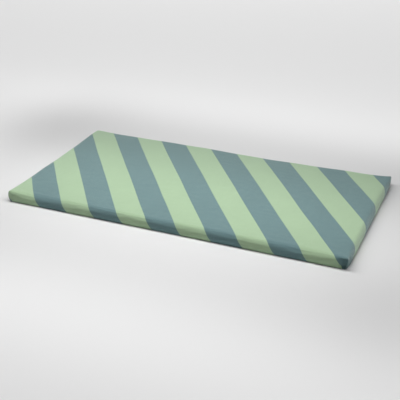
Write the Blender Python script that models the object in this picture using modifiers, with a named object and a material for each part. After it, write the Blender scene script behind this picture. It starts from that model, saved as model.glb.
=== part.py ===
"""Bench cushion: a thin oblong pad in a sewn cloth cover, one filled solid.

The top cloth rolls over the filling on all four sides and is closed at each corner by one upright
seam. The roll is wide and soft along the sides and tight at the corners, where the seam holds it.
The sides draw in between the corners, the top has a low crown, and the underside is flat.

Metres, +Z up. The pad rests on z = 0, centred on the origin, with its long side along X.
"""

from math import copysign

import bmesh
import bpy
import numpy as np

MM = 0.001

# Driving dimensions.
LENGTH = 900 * MM
WIDTH = 480 * MM
THICKNESS = 30 * MM

CROWN = 1.5 * MM  # the middle of the top over its rim
EAR_LIFT = 1.2 * MM  # a top corner over the rim beside it
EAR_REACH = 90 * MM  # how far along a side a corner seam still shapes the cloth
LONG_SIDE_DRAWN_IN = 2.5 * MM  # halfway along a long side, at its top edge
SHORT_SIDE_DRAWN_IN = 1.2 * MM  # halfway along a short side, at its top edge
FOOT_SHARE = 0.4  # how much of that the foot of a side draws in

RIM = THICKNESS - CROWN  # height of the top cloth where it starts to roll over
TOUCH = 0.01 * MM  # closer than this is on the side

# The cage is a block with these cuts: loops at three distances in from each side, two round the
# sides, and a few across the middle.
ROLL_LOOPS = (3, 14, 70)  # mm in from a side
SIDE_LOOPS = (8, 18)  # mm up
LONG_CUTS = (-190, 0, 190)  # mm along X
CROSS_CUTS = (0,)  # mm along Y

# Where each loop of the block goes, as a section through a side: mm in from the side's furthest
# reach, and up as a share of the rim's height. Smoothing draws the walls in by about 0.4 mm, so
# their loops stand that much outside the pad's size.
#   place on the block in mm, (in, up) halfway along a side, (in, up) at a corner
SIDE_SECTION = (  # the place is a height on the side
    (0, (2.6, 0.0), (2.6, 0.0)),
    (8, (-0.3, 0.28), (-0.4, 0.28)),
    (18, (0.3, 0.60), (-0.4, 0.63)),
    (30, (4.2, 0.85), (1.3, 0.93)),
)
TOP_SECTION = (  # the place is a distance in from the side
    (3, (9.0, 0.95), (4.0, 0.99)),
    (14, (18.0, 0.99), (14.0, 1.0)),
    (70, (70.0, 1.0), (70.0, 1.0)),
    (450, (450.0, 1.0), (450.0, 1.0)),
)
UNDER_SECTION = (
    (3, (7.0, 0.0), (5.0, 0.0)),
    (14, (16.0, 0.0), (14.0, 0.0)),
    (70, (70.0, 0.0), (70.0, 0.0)),
    (450, (450.0, 0.0), (450.0, 0.0)),
)

# The corner seam pulls the cloth in beside it. The seam round the underside holds the foot straight.
#   mm along the side from the corner, mm pulled in
SEAM_TUCK = ((0, 1.4), (3, 1.3), (14, 0.0))

COVER_GREEN = (0.47, 0.60, 0.42, 1.0)
COVER_ROUGHNESS = 0.9
SMOOTHING_STEPS = 2


def clear_scene():
    for thing in list(bpy.data.objects):
        bpy.data.objects.remove(thing, do_unlink=True)


def cut_block():
    """A block of the pad's driving dimensions standing on z = 0, cut along every loop of the cage."""
    cage = bmesh.new()
    bmesh.ops.create_cube(cage, size=1.0)
    for corner in cage.verts:
        corner.co.x *= LENGTH
        corner.co.y *= WIDTH
        corner.co.z = (corner.co.z + 0.5) * THICKNESS
    long_loops = [side * (LENGTH / 2 - loop * MM) for loop in ROLL_LOOPS for side in (-1, 1)]
    cross_loops = [side * (WIDTH / 2 - loop * MM) for loop in ROLL_LOOPS for side in (-1, 1)]
    cuts = [((1, 0, 0), place) for place in long_loops + [cut * MM for cut in LONG_CUTS]]
    cuts += [((0, 1, 0), place) for place in cross_loops + [cut * MM for cut in CROSS_CUTS]]
    cuts += [((0, 0, 1), loop * MM) for loop in SIDE_LOOPS]
    for normal, place in cuts:
        everything = cage.verts[:] + cage.edges[:] + cage.faces[:]
        point = [place * share for share in normal]
        bmesh.ops.bisect_plane(cage, geom=everything, plane_co=point, plane_no=normal)
    return cage


def read_section(rows, place, nearness):
    """In and up, in metres, at a place on the block, from halfway along a side (nearness 0) to a corner (1)."""
    places = [row[0] * MM for row in rows]
    found = []
    for column, unit in ((0, MM), (1, RIM)):
        halfway = np.interp(place, places, [row[1][column] for row in rows])
        corner = np.interp(place, places, [row[2][column] for row in rows])
        found.append(float(halfway + (corner - halfway) * nearness) * unit)
    return found


def section(gap, height, nearness):
    """In and up for a point of the block that lies gap in from a side, at that height."""
    if gap < TOUCH:
        return read_section(SIDE_SECTION, height, nearness)
    if height < TOUCH:
        return read_section(UNDER_SECTION, gap, nearness)
    if height > THICKNESS - TOUCH:
        return read_section(TOP_SECTION, gap, nearness)
    return gap, height  # it is on the wall of the side round the corner


def seam_nearness(distance):
    """1 at a corner seam, falling to 0 where the seam no longer shapes the cloth."""
    return max(0.0, 1.0 - distance / EAR_REACH)


def seam_tuck(gap, distance, height):
    """How far a wall is pulled in at that distance along it from a corner seam."""
    if gap > TOUCH or height < TOUCH:
        return 0.0
    places, pulls = zip(*SEAM_TUCK)
    return float(np.interp(distance / MM, places, pulls)) * MM


def gaps_to_sides(point):
    """How far a point of the block lies in from its nearest short side and its nearest long side."""
    return LENGTH / 2 - abs(point.x), WIDTH / 2 - abs(point.y)


def crease_underside_seam(cage):
    """Keeps the seam round the underside crisp, so that the pad lies flat right out to it."""
    seam_crease = cage.edges.layers.float.new("crease_edge")
    corner_crease = cage.verts.layers.float.new("crease_vert")
    for edge in cage.edges:
        middle = (edge.verts[0].co + edge.verts[1].co) / 2
        if middle.z < TOUCH and min(gaps_to_sides(middle)) < TOUCH:
            edge[seam_crease] = 1.0
    for vertex in cage.verts:
        if vertex.co.z < TOUCH and max(gaps_to_sides(vertex.co)) < TOUCH:
            vertex[corner_crease] = 1.0


def place_on_pad(point):
    """Moves one point of the block to its place on the pad's cage."""
    half_length, half_width = LENGTH / 2, WIDTH / 2
    gap_x, gap_y = gaps_to_sides(point)
    along, across = point.x / half_length, point.y / half_width
    near_x, near_y = seam_nearness(gap_x), seam_nearness(gap_y)

    in_x, up_x = section(gap_x, point.z, near_y)
    in_y, up_y = section(gap_y, point.z, near_x)
    in_x += seam_tuck(gap_x, gap_y, point.z)
    in_y += seam_tuck(gap_y, gap_x, point.z)

    drawn = FOOT_SHARE + (1 - FOOT_SHARE) * point.z / THICKNESS
    reach_x = 1 - SHORT_SIDE_DRAWN_IN / half_length * (1 - across**2) * drawn
    reach_y = 1 - LONG_SIDE_DRAWN_IN / half_width * (1 - along**2) * drawn

    if point.z > THICKNESS - TOUCH:
        crown = CROWN * (1 - along**2) * (1 - across**2)
        up = min(up_x, up_y) + crown + EAR_LIFT * near_x * near_y
    elif point.z < TOUCH:
        up = max(up_x, up_y)
    else:
        up = up_x if gap_x < TOUCH else up_y

    point.x = copysign((half_length - in_x) * reach_x, point.x) if abs(point.x) > TOUCH else 0.0
    point.y = copysign((half_width - in_y) * reach_y, point.y) if abs(point.y) > TOUCH else 0.0
    point.z = up


def cover_material():
    material = bpy.data.materials.new("cover_cloth")
    material.use_nodes = True
    shader = material.node_tree.nodes["Principled BSDF"]
    shader.inputs["Base Color"].default_value = COVER_GREEN
    shader.inputs["Roughness"].default_value = COVER_ROUGHNESS
    shader.inputs["Metallic"].default_value = 0.0
    return material


def make_cushion(collection):
    """The filled cover: the cut block with its points moved to the pad's cage, then smoothed."""
    cage = cut_block()
    crease_underside_seam(cage)
    for vertex in cage.verts:
        place_on_pad(vertex.co)
    mesh = bpy.data.meshes.new("cushion")
    cage.to_mesh(mesh)
    cage.free()
    mesh.shade_smooth()
    mesh.materials.append(cover_material())
    cushion = bpy.data.objects.new("cushion", mesh)
    collection.objects.link(cushion)
    smoothing = cushion.modifiers.new("Smooth form", "SUBSURF")
    smoothing.levels = SMOOTHING_STEPS
    smoothing.render_levels = SMOOTHING_STEPS
    return cushion


clear_scene()
parts = bpy.data.collections.new("Bench cushion")
bpy.context.scene.collection.children.link(parts)
make_cushion(parts)
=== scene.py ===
# %% [markdown]
# # A bench cushion in striped cloth
#
# The real thing is a slab of seat foam in a sewn cover. One cloth covers the top and folds down
# over the sides, each corner is closed by an upright seam, and a plain cloth closes the underside.
# This notebook dresses the construction model with that cover. It could be done with one rounded
# box and a picture of stripes, but the charm of the real one is in how the cloth rolls over the
# foam, wide and soft along the sides and tight at the corners, so the cover gets its own surface.

import bpy
import numpy as np
from mathutils import Euler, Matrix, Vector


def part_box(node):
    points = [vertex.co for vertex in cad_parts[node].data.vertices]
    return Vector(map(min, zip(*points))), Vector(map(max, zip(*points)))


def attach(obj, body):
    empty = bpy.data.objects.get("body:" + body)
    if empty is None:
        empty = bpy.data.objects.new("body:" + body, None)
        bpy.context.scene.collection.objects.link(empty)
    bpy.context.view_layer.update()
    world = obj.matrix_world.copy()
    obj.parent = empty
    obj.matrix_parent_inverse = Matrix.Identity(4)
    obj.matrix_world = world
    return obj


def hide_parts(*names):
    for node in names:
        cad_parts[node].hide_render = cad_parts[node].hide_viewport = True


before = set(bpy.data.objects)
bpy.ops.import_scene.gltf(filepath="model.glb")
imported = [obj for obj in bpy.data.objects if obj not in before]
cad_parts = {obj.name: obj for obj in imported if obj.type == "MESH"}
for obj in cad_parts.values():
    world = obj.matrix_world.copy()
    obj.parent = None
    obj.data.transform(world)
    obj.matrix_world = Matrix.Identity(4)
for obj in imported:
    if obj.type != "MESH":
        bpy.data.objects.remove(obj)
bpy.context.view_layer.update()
MM = 0.001
SAME_PLACE = 0.001 * MM  # points closer together than this are one point
_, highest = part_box("cushion")
HALF_LENGTH, HALF_WIDTH, THICKNESS = highest.x, highest.y, highest.z
print(f"pad: {2000 * HALF_LENGTH:.1f} x {2000 * HALF_WIDTH:.1f} x {1000 * THICKNESS:.1f} mm")

# %% [markdown]
# ## The camera
#
# A product photographer stands a few steps away with a long lens, so that the far end of the pad
# hardly shrinks. The place, the turn and the lens below were found by matching the outline of the
# pad and the edges of its stripes. A camera looks down its own -Z, so a level camera is turned up
# by 90 degrees about X. What it looks down by comes off that.

# %% Camera
CAMERA_PLACE = (0.7787, -1.8961, 0.9878)
LOOKS_DOWN = 26.16  # degrees below level
TURNED_LEFT = 22.56  # degrees from +Y towards -X
LEANS = 0.23  # degrees about its own line of sight
SENSOR_WIDTH = 36.0
PICTURE_WIDTH = 400
FOCAL_LENGTH_PX = 858.8


def add_camera():
    """Sets up the camera. Lens in mm = focal length in pixels x sensor width / picture width."""
    camera = bpy.data.objects.new("camera", bpy.data.cameras.new("camera"))
    bpy.context.scene.collection.objects.link(camera)
    camera.data.sensor_width = SENSOR_WIDTH
    camera.data.lens = FOCAL_LENGTH_PX * SENSOR_WIDTH / PICTURE_WIDTH
    camera.location = CAMERA_PLACE
    aim = Euler(np.radians((90 - LOOKS_DOWN, 0, TURNED_LEFT)), "XYZ").to_matrix()
    lean = Euler(np.radians((0, 0, LEANS)), "XYZ").to_matrix()
    camera.rotation_euler = (aim @ lean).to_euler()
    bpy.context.scene.camera = camera
    return camera


camera = add_camera()
print(f"lens {camera.data.lens:.1f} mm")

# %% [markdown]
# ## Floor and light
#
# The pad lies on a plain pale floor in a product studio. A long soft light hangs low, straight over
# its front half, so the top is bright, fades a little to the back and the ends, and the front side
# gets only what the floor sends back up. A big light behind grazes the top, where the nap of the
# cloth catches it as a faint bloom. One light from the front would be simpler, but it would light
# the front side as strongly as the top.
#
# Four more lights hang over the floor on all sides of the pad and make it evenly pale. Each has a
# honeycomb grid, which lets light out only within a narrow cone, so next to none reaches the pad.
# A brighter surround would need no such lights, but it would light the front side too.

# %% Floor and lights
FLOOR_SIZE = 16.0
FLOOR_GREY = 0.78
FLOOR_ROUGHNESS = 0.9


def add_floor():
    """A level square at z = 0 with a pale matt paint."""
    mesh = bpy.data.meshes.new("floor")
    reach = FLOOR_SIZE / 2
    corners = [(-reach, -reach, 0), (reach, -reach, 0), (reach, reach, 0), (-reach, reach, 0)]
    mesh.from_pydata(corners, [], [(0, 1, 2, 3)])
    floor = bpy.data.objects.new("floor", mesh)
    bpy.context.scene.collection.objects.link(floor)
    paint = bpy.data.materials.new("floor_paint")
    paint.use_nodes = True
    shader = paint.node_tree.nodes["Principled BSDF"]
    shader.inputs["Base Color"].default_value = (FLOOR_GREY, FLOOR_GREY, FLOOR_GREY, 1)
    shader.inputs["Roughness"].default_value = FLOOR_ROUGHNESS
    mesh.materials.append(paint)


LIGHTS = (  # name, place, the point it faces, size (along, across), watts, cone in degrees
    ("overhead", (-0.06, -0.11, 0.60), (-0.06, -0.13, 0.0), (1.4, 0.24), 6.5, 180),
    ("behind", (-1.30, 3.20, 1.40), (-1.10, 1.80, 0.0), (3.8, 1.50), 14.0, 180),
    ("far floor", (-0.70, 1.97, 0.60), (-0.70, 1.97, 0.0), (4.8, 3.10), 33.0, 60),
    ("near floor", (0.50, -0.95, 0.60), (0.50, -0.95, 0.0), (2.2, 0.90), 3.5, 50),
    ("left floor", (-1.25, 0.10, 0.60), (-1.25, 0.10, 0.0), (1.0, 0.80), 1.3, 50),
    ("right floor", (1.20, 0.00, 0.60), (1.20, 0.00, 0.0), (0.9, 1.00), 2.0, 50),
)
WORLD_GREY = 0.13


def add_soft_light(name, place, aim, size, watts, cone):
    """An oblong area light, turned to face its aim. A cone of 180 degrees is one with no grid."""
    lamp = bpy.data.lights.new(name, "AREA")
    lamp.shape = "RECTANGLE"
    lamp.size, lamp.size_y = size
    lamp.energy = watts
    lamp.spread = np.radians(cone)
    light = bpy.data.objects.new(name, lamp)
    bpy.context.scene.collection.objects.link(light)
    light.location = place
    away = np.array(place) - np.array(aim)
    level = np.hypot(away[0], away[1])
    turned = np.arctan2(away[0], -away[1]) if level > 0 else 0.0
    light.rotation_euler = (np.arctan2(level, away[2]), 0, turned)


add_floor()
for light_row in LIGHTS:
    add_soft_light(*light_row)
world = bpy.data.worlds.new("studio")
bpy.context.scene.world = world
world.use_nodes = True
surround = world.node_tree.nodes["Background"]
surround.inputs["Color"].default_value = (1, 1, 1, 1)
surround.inputs["Strength"].default_value = WORLD_GREY
bpy.context.scene.view_settings.view_transform = "Standard"

# %% [markdown]
# ## The cover's shape
#
# Think of the cover as a cardboard box whose corners and edges have been softened. First a plain
# block gets a grid on each of its six faces, fine near the edges and coarse between. Then every
# point of the block is moved by one rule. Near an edge the point is pushed out from an inner core,
# like a point on a ball, with a radius for each direction, so the roll over the top edge can
# be wide while the upright corner stays crisp. A remeshed box would lose that crispness and the
# straight lines of the cloth, which the stripes need later.

# %% Driving sizes of the cover
CROWN = 1.5 * MM  # middle of the top over its rim
RIM = THICKNESS - 0.8 * CROWN  # so the cover's top stands a little over the model's
SOFT_ROLL = 16 * MM  # radius over the top edge, halfway along a side
ROLL_DROP = 0.78  # a roll's height over its width: the foam behind it is firmer than that above
TIGHT_ROLL = 5 * MM  # radius over the top edge at a corner seam
ROLL_REACH = 38 * MM  # how far along a side the corner tightens the roll
BLEND_FROM = 1.6  # roll heights below the rim where an upright corner starts to widen to the roll
BLEND_OVER = 0.6  # and over how many roll heights it does so
UPRIGHT_ROLL = 2.5 * MM  # an upright corner, seen from above
FOOT_ROLL = 3 * MM  # over the seam round the underside
LONG_DRAWN_IN = 2.5 * MM  # halfway along a long side, at its top edge
SHORT_DRAWN_IN = 1.2 * MM
FOOT_SHARE = 0.4  # how much of that the foot of a side draws in
BULGE = 0.5 * MM  # how far a side swells between its two seams


def eased(t):
    """0 below 0, 1 above 1, and between them the S-curve 3 t^2 - 2 t^3."""
    t = np.clip(t, 0.0, 1.0)
    return t * t * (3.0 - 2.0 * t)


def fading(distance, reach):
    """1 at distance 0, and less with distance as e^(-distance / reach)."""
    return np.exp(-distance / reach)


FRONT_ROLL = (  # mm along the front side, the roll's radius over SOFT_ROLL
    (-450, 1.30), (-340, 1.25), (-260, 1.05), (-160, 0.75), (-60, 0.75), (0, 0.90),
    (90, 0.95), (170, 0.85), (250, 0.82), (330, 1.20), (400, 1.10), (450, 1.0),
)
FRONT_WAVE = (0.05, 74 * MM, 0.8)  # each wave: share of the radius, length, start in radians
SLOW_WAVE = (0.10, 310 * MM, 0.6)
QUICK_WAVE = (0.06, 127 * MM, 2.1)


def wave(place, share, length, start):
    """share x sin(2 pi place / length + start)."""
    return share * np.sin(2 * np.pi * place / length + start)


def front_roll(x):
    """The front roll's radius, read from its table and made a little uneven by a short wave."""
    places, shares = np.array(FRONT_ROLL).T
    return SOFT_ROLL * (np.interp(x / MM, places, shares) + wave(x, *FRONT_WAVE))


def soft_roll(place):
    """The other rolls' radius along a side, a little uneven: SOFT_ROLL and two slow waves."""
    return SOFT_ROLL * (1.0 + wave(place, *SLOW_WAVE) + wave(place, *QUICK_WAVE))


def turn(share):
    """How far a point has gone round an edge, as a slope: tan(45 degrees x share), share 0 to 1."""
    return np.tan(np.pi / 4 * np.clip(share, 0.0, 1.0))


def rolled_block(x, y, z):
    """A point of the block moved on to the block with rolled edges.

    On each axis the point first goes back to an inner core, which is smaller than the block by the
    radius there. Then it goes out again along (turn x, turn y, turn z), scaled to that radius.
    """
    from_short, from_long = HALF_LENGTH - np.abs(x), HALF_WIDTH - np.abs(y)
    roll_x = soft_roll(y) + (TIGHT_ROLL - soft_roll(y)) * fading(from_long, ROLL_REACH)
    long_roll = np.where(y < 0, front_roll(x), soft_roll(x))
    roll_y = long_roll + (TIGHT_ROLL - long_roll) * fading(from_short, ROLL_REACH)
    roll_z = ROLL_DROP * np.where(from_short / roll_x < from_long / roll_y, roll_x, roll_y)

    rise = eased((z - RIM + BLEND_FROM * roll_z) / (BLEND_OVER * roll_z))
    sink = eased((2 * FOOT_ROLL - z) / FOOT_ROLL)
    radius_x = UPRIGHT_ROLL + (roll_x - UPRIGHT_ROLL) * rise + (FOOT_ROLL - UPRIGHT_ROLL) * sink
    radius_y = UPRIGHT_ROLL + (roll_y - UPRIGHT_ROLL) * rise + (FOOT_ROLL - UPRIGHT_ROLL) * sink

    turn_x, turn_y = turn(1 - from_short / radius_x), turn(1 - from_long / radius_y)
    turn_z = turn(1 - (RIM - z) / roll_z) - turn(1 - z / FOOT_ROLL)
    whole = np.sqrt(turn_x**2 + turn_y**2 + turn_z**2)
    radius_z = np.where(turn_z > 0, roll_z, FOOT_ROLL)

    px = HALF_LENGTH - np.maximum(from_short, radius_x) + radius_x * turn_x / whole
    py = HALF_WIDTH - np.maximum(from_long, radius_y) + radius_y * turn_y / whole
    pz = np.clip(z, FOOT_ROLL, RIM - roll_z) + radius_z * turn_z / whole
    return np.sign(x) * px, np.sign(y) * py, pz


# %% [markdown]
# The softened block is still too perfect. The next rule adds what sewing and foam do: the top is
# crowned, the sides draw in between the corners and swell between their seams, and the cloth sinks
# on both sides of a seam. No two corners are alike: three stand up as small ears, the back left one
# is pressed down, and the front right seam pulls a flat hollow into the wall on each side of it. A
# few dents and lifts, placed where the real pad has them, keep it from looking machined.
# They could come from noise, but then they would not be where they should be.

# %% What sewing and foam do
SEAM_DIP = 1.3 * MM  # how deep the cloth sinks beside an upright seam
SEAM_DIP_AT = 3.0 * MM  # where it is deepest
SEAM_SPAN = (6 * MM, RIM + 2 * MM, 9 * MM)  # the dip's ease up the wall, see up_wall_ease
SWELL_REACH = 30 * MM  # how far from a seam a wall is free to swell
FOOT_SEAM = 0.6 * MM  # depth of the groove of the seam round the underside
FOOT_SEAM_HEIGHT = 2.4 * MM
FOOT_SEAM_WIDTH = 1.1 * MM
KNOB = 0.9 * MM  # how far a corner's layers push it out at the top
KNOB_REACH = 4 * MM
KNOB_FROM, KNOB_OVER = 9 * MM, 6 * MM  # it starts this far below the rim and is whole this far on
TUCK_HEIGHT = 16 * MM  # the foot of a short side is drawn under at a corner, up to this height
TUCK_REACH = 15 * MM
FACET = 6.0 * MM  # depth of the flat hollow that the front right seam pulls into the front side
SMALL_FACET = 2.0 * MM  # the same in the right side
FACET_REACH = 22 * MM  # how far along a wall it goes
FACET_SPAN = (6 * MM, RIM + 1 * MM, 5 * MM)  # its ease up the wall
FACET_EDGES = (2.5 * MM, 4 * MM)  # width of its slopes, at the seam and away from it
EAR_REACH = 26 * MM  # how far a corner's lift fades over the top
BLUNT_REACH = 12 * MM
CORNERS = (  # side of X, side of Y, then in mm: lift, blunted along X and Y, drawn under along X
    (-1, -1, 2.6, 5.5, 0.5, 6.0),
    (1, -1, 1.4, 0.5, 0.0, 5.5),
    (1, 1, 3.2, 2.2, 0.0, 6.0),
    (-1, 1, -2.2, 5.5, 2.0, 8.0),
)
DENTS = (  # middle x, y and reach x, y in mm, then lift in mm
    (130, 232, 120, 40, -1.6),
    (-260, 215, 90, 50, 0.5),
    (-365, -228, 70, 32, -1.4),
    (-60, -225, 90, 40, -0.6),
    (210, -210, 80, 45, 0.6),
    (-180, -40, 160, 110, 0.5),
    (250, 60, 140, 100, -0.5),
    (395, -70, 50, 90, -0.6),
    (-400, 60, 50, 80, 0.4),
    (-375, 232, 70, 35, -2.0),
    (345, 236, 75, 30, 2.0),
)


def sewn_and_filled(x, y, z):
    """Where block points lie on the sewn and filled cover.

    All that lifts the top fades down the walls as height^1.5, and what blunts a corner as height^2.
    """
    px, py, pz = rolled_block(x, y, z)
    along, across, height = x / HALF_LENGTH, y / HALF_WIDTH, z / RIM
    from_short, from_long = HALF_LENGTH - np.abs(x), HALF_WIDTH - np.abs(y)

    drawn = FOOT_SHARE + (1 - FOOT_SHARE) * height
    px = px * (1 - SHORT_DRAWN_IN / HALF_LENGTH * (1 - across**2) * drawn)
    py = py * (1 - LONG_DRAWN_IN / HALF_WIDTH * (1 - along**2) * drawn)

    out_x = wall_swell(from_short, from_long, z) + knob(from_short, from_long, z)
    out_y = wall_swell(from_long, from_short, z) + knob(from_short, from_long, z)
    at_front_right = (x > 0) & (y < 0)
    out_x = out_x - SMALL_FACET * at_front_right * facet(from_long, from_short, z)
    out_y = out_y - FACET * at_front_right * facet(from_short, from_long, z)
    lift = CROWN * (1 - along**2) * (1 - across**2)
    foot = np.exp(-((from_short / TUCK_REACH) ** 2)) * (1 - eased(z / TUCK_HEIGHT))
    for side_x, side_y, ear, blunt_x, blunt_y, under in CORNERS:
        corner = np.abs(px - side_x * HALF_LENGTH) + np.abs(py - side_y * HALF_WIDTH)
        lift = lift + ear * MM * fading(corner, EAR_REACH)
        blunt = fading(corner, BLUNT_REACH) * height**2
        tucked = under * MM * fading(np.abs(y - side_y * HALF_WIDTH), TUCK_REACH) * foot
        out_x = out_x - blunt_x * MM * blunt - np.where(x * side_x > 0, tucked, 0.0)
        out_y = out_y - blunt_y * MM * blunt
    for middle_x, middle_y, reach_x, reach_y, dent in DENTS:
        far_x = (px / MM - middle_x) / reach_x
        far_y = (py / MM - middle_y) / reach_y
        lift = lift + dent * MM * np.exp(-(far_x**2) - far_y**2)
    pz = pz + lift * height**1.5

    return px + np.sign(x) * out_x, py + np.sign(y) * out_y, pz


def up_wall_ease(z, foot_over, top, top_over):
    """1 midway up a wall, easing to 0 at its foot over foot_over and at top over top_over."""
    return eased(z / foot_over) * eased((top - z) / top_over)


def wall_swell(off_wall, from_corner, z):
    """How far a wall stands out: a half sine up its height, less the dips beside its seams.

    The dip beside an upright seam is t e^(1 - t), t being the distance over SEAM_DIP_AT: nothing on
    the seam itself, deepest at t = 1, gone by t = 6. The groove at the foot is a narrow bell.
    """
    swell = BULGE * np.sin(np.pi * z / RIM) * (1 - fading(from_corner, SWELL_REACH))
    t = from_corner / SEAM_DIP_AT
    dip = SEAM_DIP * t * np.exp(1 - t) * up_wall_ease(z, *SEAM_SPAN)
    groove = FOOT_SEAM * np.exp(-(((z - FOOT_SEAM_HEIGHT) / FOOT_SEAM_WIDTH) ** 2))
    return np.where(off_wall < SAME_PLACE, swell - dip - groove, 0.0)


def knob(from_short, from_long, z):
    """A small push outwards at each top corner, where several layers of cloth meet."""
    up = eased((z - RIM + KNOB_FROM) / KNOB_OVER)
    return KNOB * fading(from_short + from_long, KNOB_REACH) * up


def facet(from_corner, off_wall, z):
    """A hollow in a wall beside its seam, 0 to 1: flat inside, with short slopes all round."""
    at_seam, away = FACET_EDGES
    along = eased((FACET_REACH - from_corner) / away) * eased(from_corner / at_seam)
    return along * up_wall_ease(z, *FACET_SPAN) * (off_wall < SAME_PLACE)


# %% [markdown]
# ### From a grid to a mesh
#
# Each face of the block is a grid of points, made as whole arrays. Neighbouring faces share the
# points on their common edge, and `np.unique` finds those, so the cover is one closed mesh.
# A tape measure laid on each grid gives every point its place on the flat cloth: the length along
# the grid from the middle of the top, over the roll and down the side. Stored as a UV map in
# metres, it carries the stripes and the weave, which then bend with the cloth. The side walls share
# the top's cloth without a break, and at the corner seams the pattern is cut, as in the real cover.

# %% Grids
EDGE_STEPS = 12
FIRST_STEP = 0.9 * MM
STEP_GROWTH = 1.22
MIDDLE_STEP = 9.5 * MM
WALL_ROWS = (0, 0.8, 1.7, 2.7, 4, 5.6, 7.6, 9.8, 12.1, 14.5, 17, 19.6, 22.3, 25.3)  # mm up a wall


def places_across(half):
    """Grid lines from -half to half. Steps grow by STEP_GROWTH from each side, then are even."""
    from_side = np.cumsum(FIRST_STEP * STEP_GROWTH ** np.arange(EDGE_STEPS))
    inner = half - from_side[-1]
    even = 2 * round(inner / MIDDLE_STEP)
    middle = np.linspace(-inner, inner, even + 1)
    return np.concatenate(([-half], from_side - half, middle[1:-1], half - from_side[::-1], [half]))


across_x = places_across(HALF_LENGTH)
across_y = places_across(HALF_WIDTH)
up_wall = np.append(np.array(WALL_ROWS) * MM, RIM)
print(f"grid lines: {len(across_x)} along, {len(across_y)} across, {len(up_wall)} up a side")


def face_grids():
    """The block's faces as name: (x, y, z) arrays, indexed so that their quads face outwards."""
    top_x, top_y = np.meshgrid(across_x, across_y, indexing="ij")
    long_x, long_z = np.meshgrid(across_x, up_wall, indexing="ij")
    short_y, short_z = np.meshgrid(across_y, up_wall, indexing="ij")
    right = np.full_like(short_y, HALF_LENGTH)
    back = np.full_like(long_x, HALF_WIDTH)
    return {
        "top": (top_x, top_y, np.full_like(top_x, RIM)),
        "under": (top_x[:, ::-1], top_y[:, ::-1], np.zeros_like(top_x)),
        "front": (long_x, -back, long_z),
        "back": (long_x[::-1], back, long_z[::-1]),
        "right": (right, short_y, short_z),
        "left": (-right, short_y[::-1], short_z[::-1]),
    }


def tape(points, axis):
    """Length along a grid of points, from its first line: running sum of the straight steps."""
    steps = np.linalg.norm(np.diff(points, axis=axis), axis=2)
    start = np.zeros_like(np.take(steps, [0], axis=axis))
    return np.concatenate((start, np.cumsum(steps, axis=axis)), axis=axis)


PULLS = (  # where the cloth was drawn askew: middle u, v and reach, then shift along u, all in mm
    (-450, -240, 45, 12),
)


def flat_cloth(places):
    """Every face's (u, v) on the flat cloth in metres, from the faces' points on the cover.

    On the top, u and v are lengths from the middle lines. On a side, one of them stays what it is
    at the top edge, and the other goes on by the length down the side.
    """
    top = places["top"]
    u, v = tape(top, 0), tape(top, 1)
    u = u - u[len(across_x) // 2]
    v = v - v[:, [len(across_y) // 2]]
    for middle_u, middle_v, reach, shift in PULLS:
        near = ((u / MM - middle_u) / reach) ** 2 + ((v / MM - middle_v) / reach) ** 2
        u = u + shift * MM * np.exp(-near)
    walls = ("front", "back", "right", "left")
    down = {name: tape(places[name][:, ::-1], 1)[:, ::-1] for name in walls}
    ones = np.ones(len(up_wall))
    return {
        "top": (u, v),
        "under": (places["under"][..., 0], places["under"][..., 1]),
        "front": (np.outer(u[:, 0], ones), v[:, [0]] - down["front"]),
        "back": (np.outer(u[::-1, -1], ones), v[::-1, [-1]] + down["back"]),
        "right": (u[-1][:, None] + down["right"], np.outer(v[-1], ones)),
        "left": (u[0][::-1, None] - down["left"], np.outer(v[0, ::-1], ones)),
    }


# %% The cover as one closed mesh
def build_cover():
    """Joins the six grids. Shared block points become one vertex, and quads keep their own UVs."""
    blocks = face_grids()
    places = {name: np.stack(sewn_and_filled(*block), axis=2) for name, block in blocks.items()}
    cloth = flat_cloth(places)
    corners, quads, uvs, under = [], [], [], []
    first = 0
    for name, block in blocks.items():
        rows, columns = block[0].shape
        number = first + np.arange(rows * columns).reshape(rows, columns)
        quad = (number[:-1, :-1], number[1:, :-1], number[1:, 1:], number[:-1, 1:])
        quads.append(np.stack(quad, axis=2).reshape(-1, 4))
        corners.append(np.stack(block, axis=2).reshape(-1, 3))
        uvs.append(np.stack(cloth[name], axis=2).reshape(-1, 2))
        under.append(np.full(len(quads[-1]), name == "under"))
        first += rows * columns
    corners, quads, uvs = np.concatenate(corners), np.concatenate(quads), np.concatenate(uvs)
    rounded = np.round(corners / SAME_PLACE).astype(np.int64)
    _, first_use, number_of = np.unique(rounded, axis=0, return_index=True, return_inverse=True)
    positions = np.concatenate([places[name].reshape(-1, 3) for name in blocks])[first_use]
    mesh = bpy.data.meshes.new("cushion_cover")
    mesh.from_pydata(positions, [], number_of.reshape(-1)[quads].tolist())
    layer = mesh.uv_layers.new(name="flat_cloth")
    layer.data.foreach_set("uv", uvs[quads.reshape(-1)].reshape(-1).astype(np.float32))
    mesh.polygons.foreach_set("material_index", np.concatenate(under).astype(np.int32))
    mesh.shade_smooth()
    cover = bpy.data.objects.new("cushion_cover", mesh)
    bpy.context.scene.collection.objects.link(cover)
    return cover, corners[first_use]


cover, block_points = build_cover()
print(f"cover: {len(cover.data.vertices)} points, {len(cover.data.polygons)} quads")

# %% [markdown]
# ## Letting the cloth settle
#
# Blender's cloth simulation blows the cover up a little from inside, as the foam does, while the
# seams and the underside hold it. Weights say how firmly each point is held: 1 doesn't move
# at all, and less is a spring to where the point started, which stands for the foam behind the
# cloth. The pressure alone would blow a pad this wide and thin up like an air bed, so the foam
# springs are firm on the top, softer on the rolls and walls, and no point may move past a cap.

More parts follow.
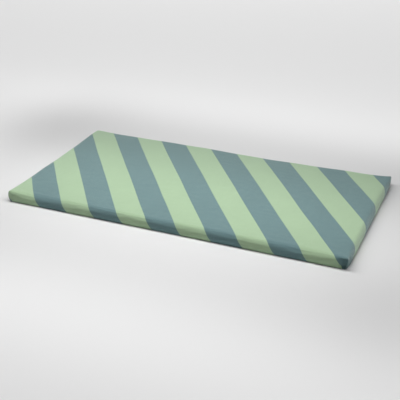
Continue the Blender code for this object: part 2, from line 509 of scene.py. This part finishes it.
# %% Cloth simulation
SETTLE_FRAMES = 20
MOST_MOVE = 2.5 * MM
HOLD_LEVELS = 12  # the weights are rounded to this many steps
CLOTH_SETTINGS = {
    "quality": 6,
    "mass": 0.02,
    "air_damping": 0.0,
    "tension_stiffness": 5.0,
    "compression_stiffness": 5.0,
    "bending_stiffness": 0.05,
    "use_pressure": True,
    "uniform_pressure_force": 5.0,
    "pin_stiffness": 0.1,
}
FOAM_HOLD, ROLL_HOLD, WALL_HOLD = 0.6, 0.3, 0.25
FOAM_FROM, FOAM_OVER = 4 * MM, 14 * MM  # in from a side, where the foam's hold takes over
SEAM_HOLD_REACH = 3 * MM
FOOT_HELD_TO, FOOT_HELD_OVER = 5 * MM, 4 * MM  # up a wall, where the underside's hold ends


def hold_weights(block):
    """How firmly block points are held, 0 to 1: seams and underside 1, then top, rolls, walls."""
    x, y, z = block.T
    from_short, from_long = HALF_LENGTH - np.abs(x), HALF_WIDTH - np.abs(y)
    nearest = np.minimum(from_short, from_long)
    top = ROLL_HOLD + (FOAM_HOLD - ROLL_HOLD) * eased((nearest - FOAM_FROM) / FOAM_OVER)
    cloth = np.where(z < RIM - SAME_PLACE, WALL_HOLD, top)
    corner_seam = fading(np.maximum(from_short, from_long), SEAM_HOLD_REACH)
    foot = eased((FOOT_HELD_TO - z) / FOOT_HELD_OVER)
    return np.clip(np.maximum(np.maximum(cloth, corner_seam), foot), 0, 1)


def settle(piece, weights):
    """Runs Cloth on the piece, caps how far each point moved, and keeps the result in its mesh."""
    scene = bpy.context.scene
    held = piece.vertex_groups.new(name="held")
    steps = np.round(weights * HOLD_LEVELS).astype(int)
    for step in range(HOLD_LEVELS + 1):
        held.add(np.flatnonzero(steps == step).tolist(), step / HOLD_LEVELS, "REPLACE")
    cloth = piece.modifiers.new("Settle", "CLOTH")
    for setting, value in CLOTH_SETTINGS.items():
        setattr(cloth.settings, setting, value)
    cloth.settings.effector_weights.gravity = 0
    cloth.settings.vertex_group_mass = held.name
    cloth.point_cache.frame_start = 1
    cloth.point_cache.frame_end = SETTLE_FRAMES
    for frame_number in range(1, SETTLE_FRAMES + 1):
        scene.frame_set(frame_number)
    settled = piece.evaluated_get(bpy.context.evaluated_depsgraph_get())
    before = np.empty(3 * len(piece.data.vertices), np.float32)
    after = np.empty_like(before)
    piece.data.vertices.foreach_get("co", before)
    settled.data.vertices.foreach_get("co", after)
    piece.modifiers.remove(cloth)
    piece.vertex_groups.remove(held)
    scene.frame_set(1)
    before, after = before.reshape(-1, 3), after.reshape(-1, 3)
    move = after - before
    length = np.linalg.norm(move, axis=1, keepdims=True)
    length = np.maximum(length, 1e-9)  # nothing is divided by 0
    print(f"settled: {length.mean() / MM:.2f} mm on average, {length.max() / MM:.2f} mm at most")
    kept = before + move * np.minimum(1, MOST_MOVE / length)
    piece.data.vertices.foreach_set("co", kept.reshape(-1))
    piece.data.update()


settle(cover, hold_weights(block_points))

# %% [markdown]
# One subdivision rounds the grid's quads. The UV map is left as it is (`NONE`), because smoothing
# it would round off the corners of the cloth's pattern.

# %% Subdivision
smoothing = cover.modifiers.new("Smooth cloth", "SUBSURF")
smoothing.levels = smoothing.render_levels = 1
smoothing.uv_smooth = "NONE"

# %% [markdown]
# ## Shader sums as plain Python
#
# A material's pattern is arithmetic on coordinates. Wrapping a node's output in a small class lets
# the arithmetic be written as it would be on paper: each operator adds its Math node.

# %% A small class for shader sums
class Number:
    """A number that varies over a surface. It wraps an output socket, and sums on it add nodes."""

    def __init__(self, finish, socket):
        self.finish = finish
        self.socket = socket

    def maths(self, operation, *inputs):
        """A Math node of that operation. Inputs are Numbers or plain numbers."""
        sockets = dict(enumerate(inputs))
        return self.finish.node("ShaderNodeMath", {"operation": operation}, sockets)[0]

    def __add__(self, other):
        return self.maths("ADD", self, other)

    def __sub__(self, other):
        return self.maths("SUBTRACT", self, other)

    def __rsub__(self, other):
        return self.maths("SUBTRACT", other, self)

    def __mul__(self, other):
        return self.maths("MULTIPLY", self, other)

    def __truediv__(self, other):
        return self.maths("DIVIDE", self, other)

    __radd__ = __add__
    __rmul__ = __mul__

    def sine(self):
        return self.maths("SINE", self)

    def floor(self):
        return self.maths("FLOOR", self)

    def size(self):
        return self.maths("ABSOLUTE", self)

    def larger(self, other):
        return self.maths("MAXIMUM", self, other)

    def clamped(self):
        return self.maths("MINIMUM", self.maths("MAXIMUM", self, 0.0), 1.0)


class Finish:
    """A material in the making, with one method that adds any node."""

    def __init__(self, name):
        self.material = bpy.data.materials.new(name)
        self.material.use_nodes = True
        self.tree = self.material.node_tree
        self.tree.nodes.clear()

    def node(self, kind, settings=None, sockets=None):
        """Adds a node. Its settings are set first, then its sockets, by name or number, get a value
        or a link. Returns its outputs as Numbers."""
        made = self.tree.nodes.new(kind)
        for name, value in (settings or {}).items():
            setattr(made, name, value)
        for key, value in (sockets or {}).items():
            if isinstance(value, Number):
                self.tree.links.new(value.socket, made.inputs[key])
            else:
                made.inputs[key].default_value = value
        return [Number(self, output) for output in made.outputs]

    def mix(self, share, first, second):
        """Mixes two colours: first where share is 0, second where it is 1."""
        settings = {"data_type": "RGBA", "clamp_factor": True}
        return self.node("ShaderNodeMix", settings, {0: share, 6: first, 7: second})[2]

    def noise(self, where, scale, detail=2.0, roughness=0.5):
        """Soft noise about 0, from roughly -0.5 to 0.5."""
        sockets = {"Vector": where, "Scale": scale, "Detail": detail, "Roughness": roughness}
        return self.node("ShaderNodeTexNoise", None, sockets)[0] - 0.5


# %% [markdown]
# ## The cloth
#
# The cover is a plain weave: warp threads run one way, weft threads the other, and each passes over
# and under in turn. The threads are less than a millimetre apart, far too fine to model one by
# one on a pad this long, so they are bump. A thread's height is a sine across it, times a wave
# along it that is high where it passes over, and the surface is whichever thread is higher.

# %% Weave
THREAD_PITCH = 0.9 * MM
WEAVE_DEPTH = 0.10 * MM
SLUB_SCALE = 420.0
SLUB_HEIGHT = 0.8  # against the weave's height of 1
WARP_SLUBS, WEFT_SLUBS = (1.0, 0.05, 1.0), (0.05, 1.0, 1.0)  # noise scale along u, v and w
CROSSED_SLUB_SHARE = 0.55  # of the colour's tone, where slubs run both ways
BLOTCH_SCALE, BLOTCH_SHARE = 14.0, 0.7


def cloth_coordinates(finish):
    """The flat cloth's u and v in metres, and both as a vector."""
    where = finish.node("ShaderNodeUVMap", {"uv_map": "flat_cloth"})[0]
    u, v, _ = finish.node("ShaderNodeSeparateXYZ", None, {0: where})
    return u, v, where


def weave_height(u, v):
    """0 to 1. Warp: |sin(pi a)| (1 + sin(pi (b + floor a)) / 2); weft: the same with a and b
    swapped and the wave half a turn on; a = u / pitch, b = v / pitch. The higher one wins."""
    a, b = u / THREAD_PITCH, v / THREAD_PITCH
    warp = (a * np.pi).sine().size() * (0.5 + 0.5 * ((b + a.floor()) * np.pi).sine())
    weft = (b * np.pi).sine().size() * (0.5 - 0.5 * ((a + b.floor()) * np.pi).sine())
    return warp.larger(weft)


# %% [markdown]
# ## The stripes
#
# Wide slanting stripes, pale green and blue-grey by turns. On the flat cloth a stripe's edge is a
# straight line, so `u - slant v` is the same all along it, and the sine of that number changes
# sign at each edge. Scaled up and clamped, the sine becomes a mask with crisp edges about a thread
# wide. The cloth is never drawn on quite straight, so slow noise moves the edges by a millimetre or
# two. Slubs, which are thicker threads, and soft blotches keep the colours from being flat.

# %% Stripes
STRIPE_WIDTH = 64.1 * MM  # square across
STRIPE_SLANT = -0.7117  # how far an edge moves along u for each step along v
STRIPE_START = 12.6 * MM  # the u of one edge at v = 0, with green on its +u side
EDGE_SOFTNESS = 0.8 * MM
CLOTH_PULL, PULL_SCALE = 5 * MM, 5.0  # noise scales are in waves to the metre
GREEN, GREEN_SPREAD = (0.392, 0.542, 0.337), 0.07  # colour, and how far threads stray from it
BLUE_GREY, BLUE_GREY_SPREAD = (0.125, 0.222, 0.234), 0.10
MATT_NAP = {  # both cloths: matt threads, and a nap that blooms where light grazes it
    "Roughness": 0.9,
    "Specular IOR Level": 0.06,
    "Sheen Weight": 0.7,
    "Sheen Roughness": 0.55,
    "Sheen Tint": (0.86, 1.0, 0.95, 1.0),
}


def shaded(colour, share):
    """The colour with its lightness multiplied by share."""
    return (*(channel * share for channel in colour), 1.0)


def two_tones(finish, tone, colour, spread):
    """The colour, darker by the spread where tone is 0 and lighter by it where tone is 1."""
    return finish.mix(tone, shaded(colour, 1 - spread), shaded(colour, 1 + spread))


def slub_noise(finish, where, stretch):
    """Thicker threads, about 0: noise drawn out along the axis whose share in stretch is small."""
    drawn_out = finish.node("ShaderNodeMapping", None, {"Vector": where, "Scale": stretch})[0]
    return finish.noise(drawn_out, SLUB_SCALE)


def striped_cloth():
    """The cover's material: stripe mask, slubs, blotches and weave."""
    finish = Finish("striped_cloth")
    u, v, where = cloth_coordinates(finish)
    pull = finish.noise(where, PULL_SCALE, 1.0) * CLOTH_PULL
    repeat = STRIPE_WIDTH * np.hypot(1, STRIPE_SLANT)
    phase = (u - v * STRIPE_SLANT - STRIPE_START + pull) / repeat
    sharpness = STRIPE_WIDTH / np.pi / EDGE_SOFTNESS
    green_share = ((phase * np.pi).sine() * sharpness + 0.5).clamped()

    slubs = slub_noise(finish, where, WARP_SLUBS) + slub_noise(finish, where, WEFT_SLUBS)
    blotches = finish.noise(where, BLOTCH_SCALE, 3.0)
    tone = (0.5 + slubs * CROSSED_SLUB_SHARE + blotches * BLOTCH_SHARE).clamped()
    green = two_tones(finish, tone, GREEN, GREEN_SPREAD)
    blue = two_tones(finish, tone, BLUE_GREY, BLUE_GREY_SPREAD)
    return finish_cloth(finish, finish.mix(green_share, blue, green), u, v, slubs)


def finish_cloth(finish, colour, u, v, slubs):
    """The parts that both cloths share: matt threads with a faint bloom, and the weave as bump."""
    height = weave_height(u, v) + slubs * SLUB_HEIGHT
    bump = finish.node("ShaderNodeBump", None, {"Distance": WEAVE_DEPTH, "Height": height})[0]
    sockets = {"Base Color": colour, "Normal": bump, **MATT_NAP}
    shader = finish.node("ShaderNodeBsdfPrincipled", None, sockets)[0]
    finish.node("ShaderNodeOutputMaterial", None, {"Surface": shader})
    return finish.material


# %% [markdown]
# The underside is closed by a plain cloth in the colour of the darker stripes. It has the same
# threads, without the stripes.

# %% Underside
UNDERSIDE, UNDERSIDE_SPREAD = (0.150, 0.215, 0.225), 0.12


def underside_cloth():
    """The underside's material: one colour with slubs, blotches and weave."""
    finish = Finish("underside_cloth")
    u, v, where = cloth_coordinates(finish)
    slubs = slub_noise(finish, where, WARP_SLUBS)
    tone = (0.5 + slubs + finish.noise(where, BLOTCH_SCALE, 3.0) * BLOTCH_SHARE).clamped()
    colour = two_tones(finish, tone, UNDERSIDE, UNDERSIDE_SPREAD)
    return finish_cloth(finish, colour, u, v, slubs)


cover.data.materials.append(striped_cloth())
cover.data.materials.append(underside_cloth())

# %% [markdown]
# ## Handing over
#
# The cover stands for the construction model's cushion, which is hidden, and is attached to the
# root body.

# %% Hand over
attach(cover, "root")
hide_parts("cushion")
